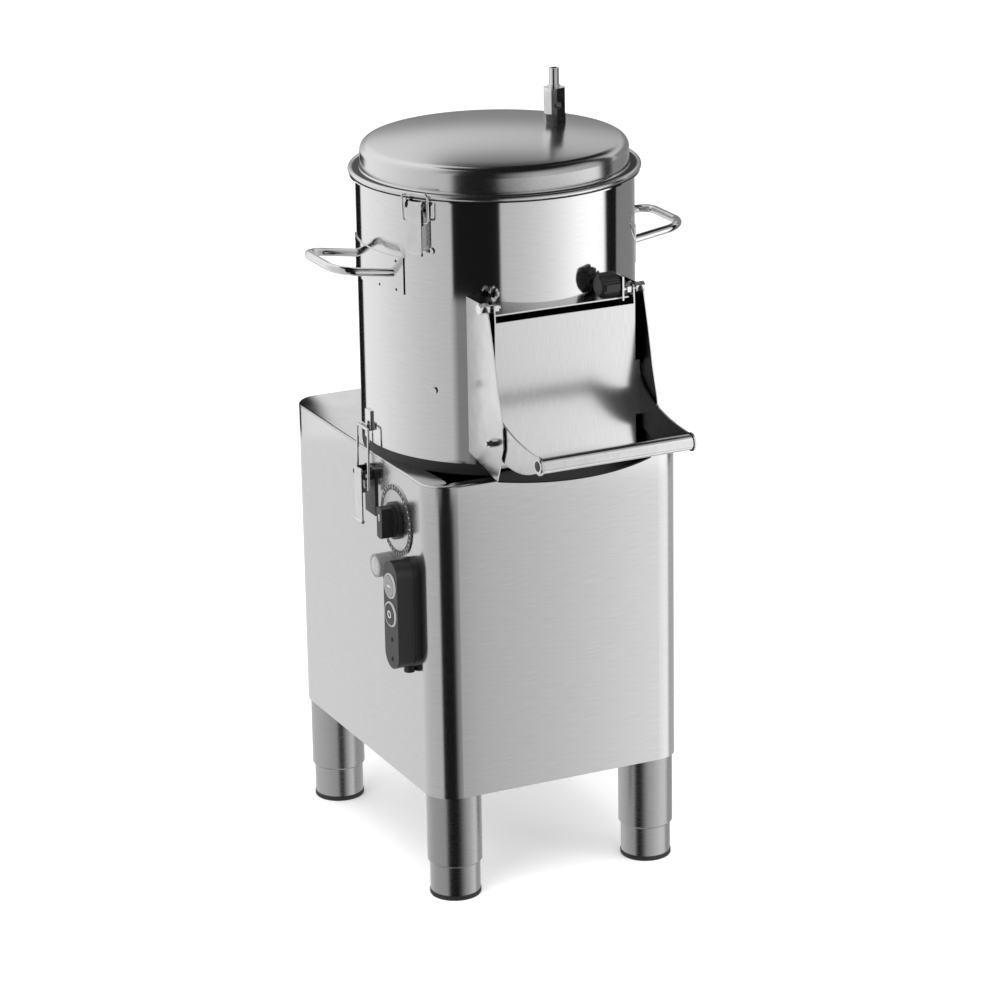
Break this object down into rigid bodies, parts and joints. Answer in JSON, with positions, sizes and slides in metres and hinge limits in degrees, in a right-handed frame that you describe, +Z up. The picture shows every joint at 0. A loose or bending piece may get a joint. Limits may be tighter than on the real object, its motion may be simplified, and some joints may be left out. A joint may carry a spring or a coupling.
{
  "type": "electric potato peeler",
  "caption": "Floor-standing electric potato peeler: a steel drum with a domed lid and front discharge door on a cabinet with a timer knob, push buttons and adjustable feet.",
  "frame": {"origin": "on the floor, under the drum's axis", "axes": "+Z up, the chute faces -Y, the controls are on the -X side"},
  "size_m": [0.4214, 0.582, 0.87],
  "materials": {
    "brushed_steel": "brushed",
    "mirror_steel": "polished",
    "polished_steel": "polished",
    "dark_steel": "satin",
    "black_rubber": "matte",
    "grey_rubber": "matte",
    "black_plastic": "satin",
    "white_plastic": "gloss",
    "dial_plate": "satin",
    "cream_plastic": "matte",
    "abrasive": "rough",
    "motor_paint": "satin"
  },
  "bodies": {
    "base": {"cabinet_shell": "brushed_steel", "top_plate": "brushed_steel", "base_plate": "brushed_steel", "rear_panel": "brushed_steel", "rear_panel_screws": "polished_steel", "leg_sleeves": "brushed_steel", "seat_ring": "black_rubber", "sump_pan": "brushed_steel", "drain_pipe": "polished_steel", "bearing_housing": "dark_steel", "spindle_bearings": "polished_steel", "motor_bracket": "brushed_steel", "motor_body": "motor_paint", "drive_belt": "black_rubber", "timer_dial": "dial_plate", "timer_body": "cream_plastic", "pilot_lamp": "white_plastic", "button_box_base": "black_plastic", "button_box_cover": "black_plastic", "side_latch_bases": "dark_steel", "cable_gland": "black_rubber"},
    "drum": {"drum_shell": "mirror_steel", "abrasive_liners": "abrasive", "drum_screws": "polished_steel", "side_keepers": "polished_steel", "handle_plates": "mirror_steel", "handle_left": "polished_steel", "handle_right": "polished_steel", "outlet_cheek_left": "mirror_steel", "outlet_cheek_right": "mirror_steel", "outlet_top_plate": "mirror_steel", "outlet_floor": "mirror_steel", "lid_latch_base": "polished_steel", "lid_hinge_base": "polished_steel"},
    "door": {"door_panel": "mirror_steel", "door_bar": "polished_steel"},
    "door_clamp": {"door_clamp_knob": "black_plastic"},
    "lid": {"lid_shell": "brushed_steel", "lid_gasket": "grey_rubber", "lid_hinge_strap": "polished_steel", "inlet_block": "polished_steel", "inlet_spigot": "polished_steel"},
    "lid_latch_lever": {"lid_latch_lever": "polished_steel"},
    "lid_latch_bail": {"lid_latch_bail": "polished_steel"},
    "side_latch_lever_left": {"side_latch_lever_left": "polished_steel"},
    "side_latch_bail_left": {"side_latch_bail_left": "polished_steel"},
    "side_latch_lever_right": {"side_latch_lever_right": "polished_steel"},
    "side_latch_bail_right": {"side_latch_bail_right": "polished_steel"},
    "timer_knob": {"timer_knob": "black_plastic"},
    "start_button": {"start_button": "white_plastic"},
    "stop_button": {"stop_button": "black_plastic"},
    "foot_front_left": {"adjustable_foot_front_left": "brushed_steel"},
    "foot_front_right": {"adjustable_foot_front_right": "brushed_steel"},
    "foot_rear_left": {"adjustable_foot_rear_left": "brushed_steel"},
    "foot_rear_right": {"adjustable_foot_rear_right": "brushed_steel"},
    "spindle": {"drive_shaft": "polished_steel", "driven_pulley": "dark_steel", "disc_carrier": "brushed_steel", "abrasive_surface": "abrasive"},
    "rotor": {"motor_pulley": "dark_steel"}
  },
  "joints": [
    {"name": "drum_lift", "type": "slide", "parent": "base", "child": "drum", "axis": [0, 0, 1], "range_m": [0, 0.25]},
    {"name": "lid_hinge", "type": "hinge", "parent": "drum", "child": "lid", "pos_m": [0.1409, 0.0915, 0.777], "axis": [-0.5446, 0.8387, 0], "range_deg": [0, 100]},
    {"name": "lid_latch_lever_hinge", "type": "hinge", "parent": "drum", "child": "lid_latch_lever", "pos_m": [-0.13377, -0.08687, 0.768], "axis": [-0.5446, 0.8387, 0], "range_deg": [0, 150]},
    {"name": "lid_latch_bail_hinge", "type": "hinge", "parent": "lid_latch_lever", "child": "lid_latch_bail", "pos_m": [-0.13209, -0.08578, 0.749], "axis": [0.5446, -0.8387, 0], "range_deg": [0, 150]},
    {"name": "side_latch_lever_hinge_left", "type": "hinge", "parent": "base", "child": "side_latch_lever_left", "pos_m": [-0.161, 0.008, 0.452], "axis": [0, 1, 0], "range_deg": [0, 150]},
    {"name": "side_latch_bail_hinge_left", "type": "hinge", "parent": "side_latch_lever_left", "child": "side_latch_bail_left", "pos_m": [-0.16, 0.008, 0.436], "axis": [0, -1, 0], "range_deg": [0, 150]},
    {"name": "side_latch_lever_hinge_right", "type": "hinge", "parent": "base", "child": "side_latch_lever_right", "pos_m": [0.161, 0.008, 0.452], "axis": [0, -1, 0], "range_deg": [0, 150]},
    {"name": "side_latch_bail_hinge_right", "type": "hinge", "parent": "side_latch_lever_right", "child": "side_latch_bail_right", "pos_m": [0.16, 0.008, 0.436], "axis": [0, 1, 0], "range_deg": [0, 150]},
    {"name": "door_hinge", "type": "hinge", "parent": "drum", "child": "door", "pos_m": [0, -0.159, 0.6672], "axis": [-1, 0, 0], "range_deg": [0, 75]},
    {"name": "door_clamp_turn", "type": "hinge", "parent": "drum", "child": "door_clamp", "pos_m": [0.055, -0.1595, 0.6741], "axis": [-1, 0, 0], "range_deg": [0, 270]},
    {"name": "timer_turn", "type": "hinge", "parent": "base", "child": "timer_knob", "pos_m": [-0.155, -0.05802, 0.416], "axis": [1, 0, 0], "range_deg": [0, 300]},
    {"name": "start_button_press", "type": "slide", "parent": "base", "child": "start_button", "axis": [1, 0, 0], "range_m": [0, 0.003], "stiffness_N_per_m": 300, "springref_m": -0.0005},
    {"name": "stop_button_press", "type": "slide", "parent": "base", "child": "stop_button", "axis": [1, 0, 0], "range_m": [0, 0.003], "stiffness_N_per_m": 300, "springref_m": -0.0005},
    {"name": "foot_front_left_screw", "type": "slide", "parent": "base", "child": "foot_front_left", "axis": [0, 0, -1], "range_m": [0, 0.025]},
    {"name": "foot_rear_left_screw", "type": "slide", "parent": "base", "child": "foot_rear_left", "axis": [0, 0, -1], "range_m": [0, 0.025]},
    {"name": "foot_front_right_screw", "type": "slide", "parent": "base", "child": "foot_front_right", "axis": [0, 0, -1], "range_m": [0, 0.025]},
    {"name": "foot_rear_right_screw", "type": "slide", "parent": "base", "child": "foot_rear_right", "axis": [0, 0, -1], "range_m": [0, 0.025]},
    {"name": "disc_spin", "type": "hinge", "parent": "base", "child": "spindle", "pos_m": [0, 0, 0.402], "axis": [0, 0, 1], "continuous": true},
    {"name": "motor_spin", "type": "hinge", "parent": "base", "child": "rotor", "pos_m": [0, 0.15, 0.352], "axis": [0, 0, 1], "continuous": true}
  ],
  "couplings": [
    {"joint": "motor_spin", "follows": "disc_spin", "ratio": 3.6316},
    {"joint": "lid_latch_bail_hinge", "follows": "lid_latch_lever_hinge", "ratio": 1},
    {"joint": "side_latch_bail_hinge_left", "follows": "side_latch_lever_hinge_left", "ratio": 1},
    {"joint": "side_latch_bail_hinge_right", "follows": "side_latch_lever_hinge_right", "ratio": 1}
  ]
}
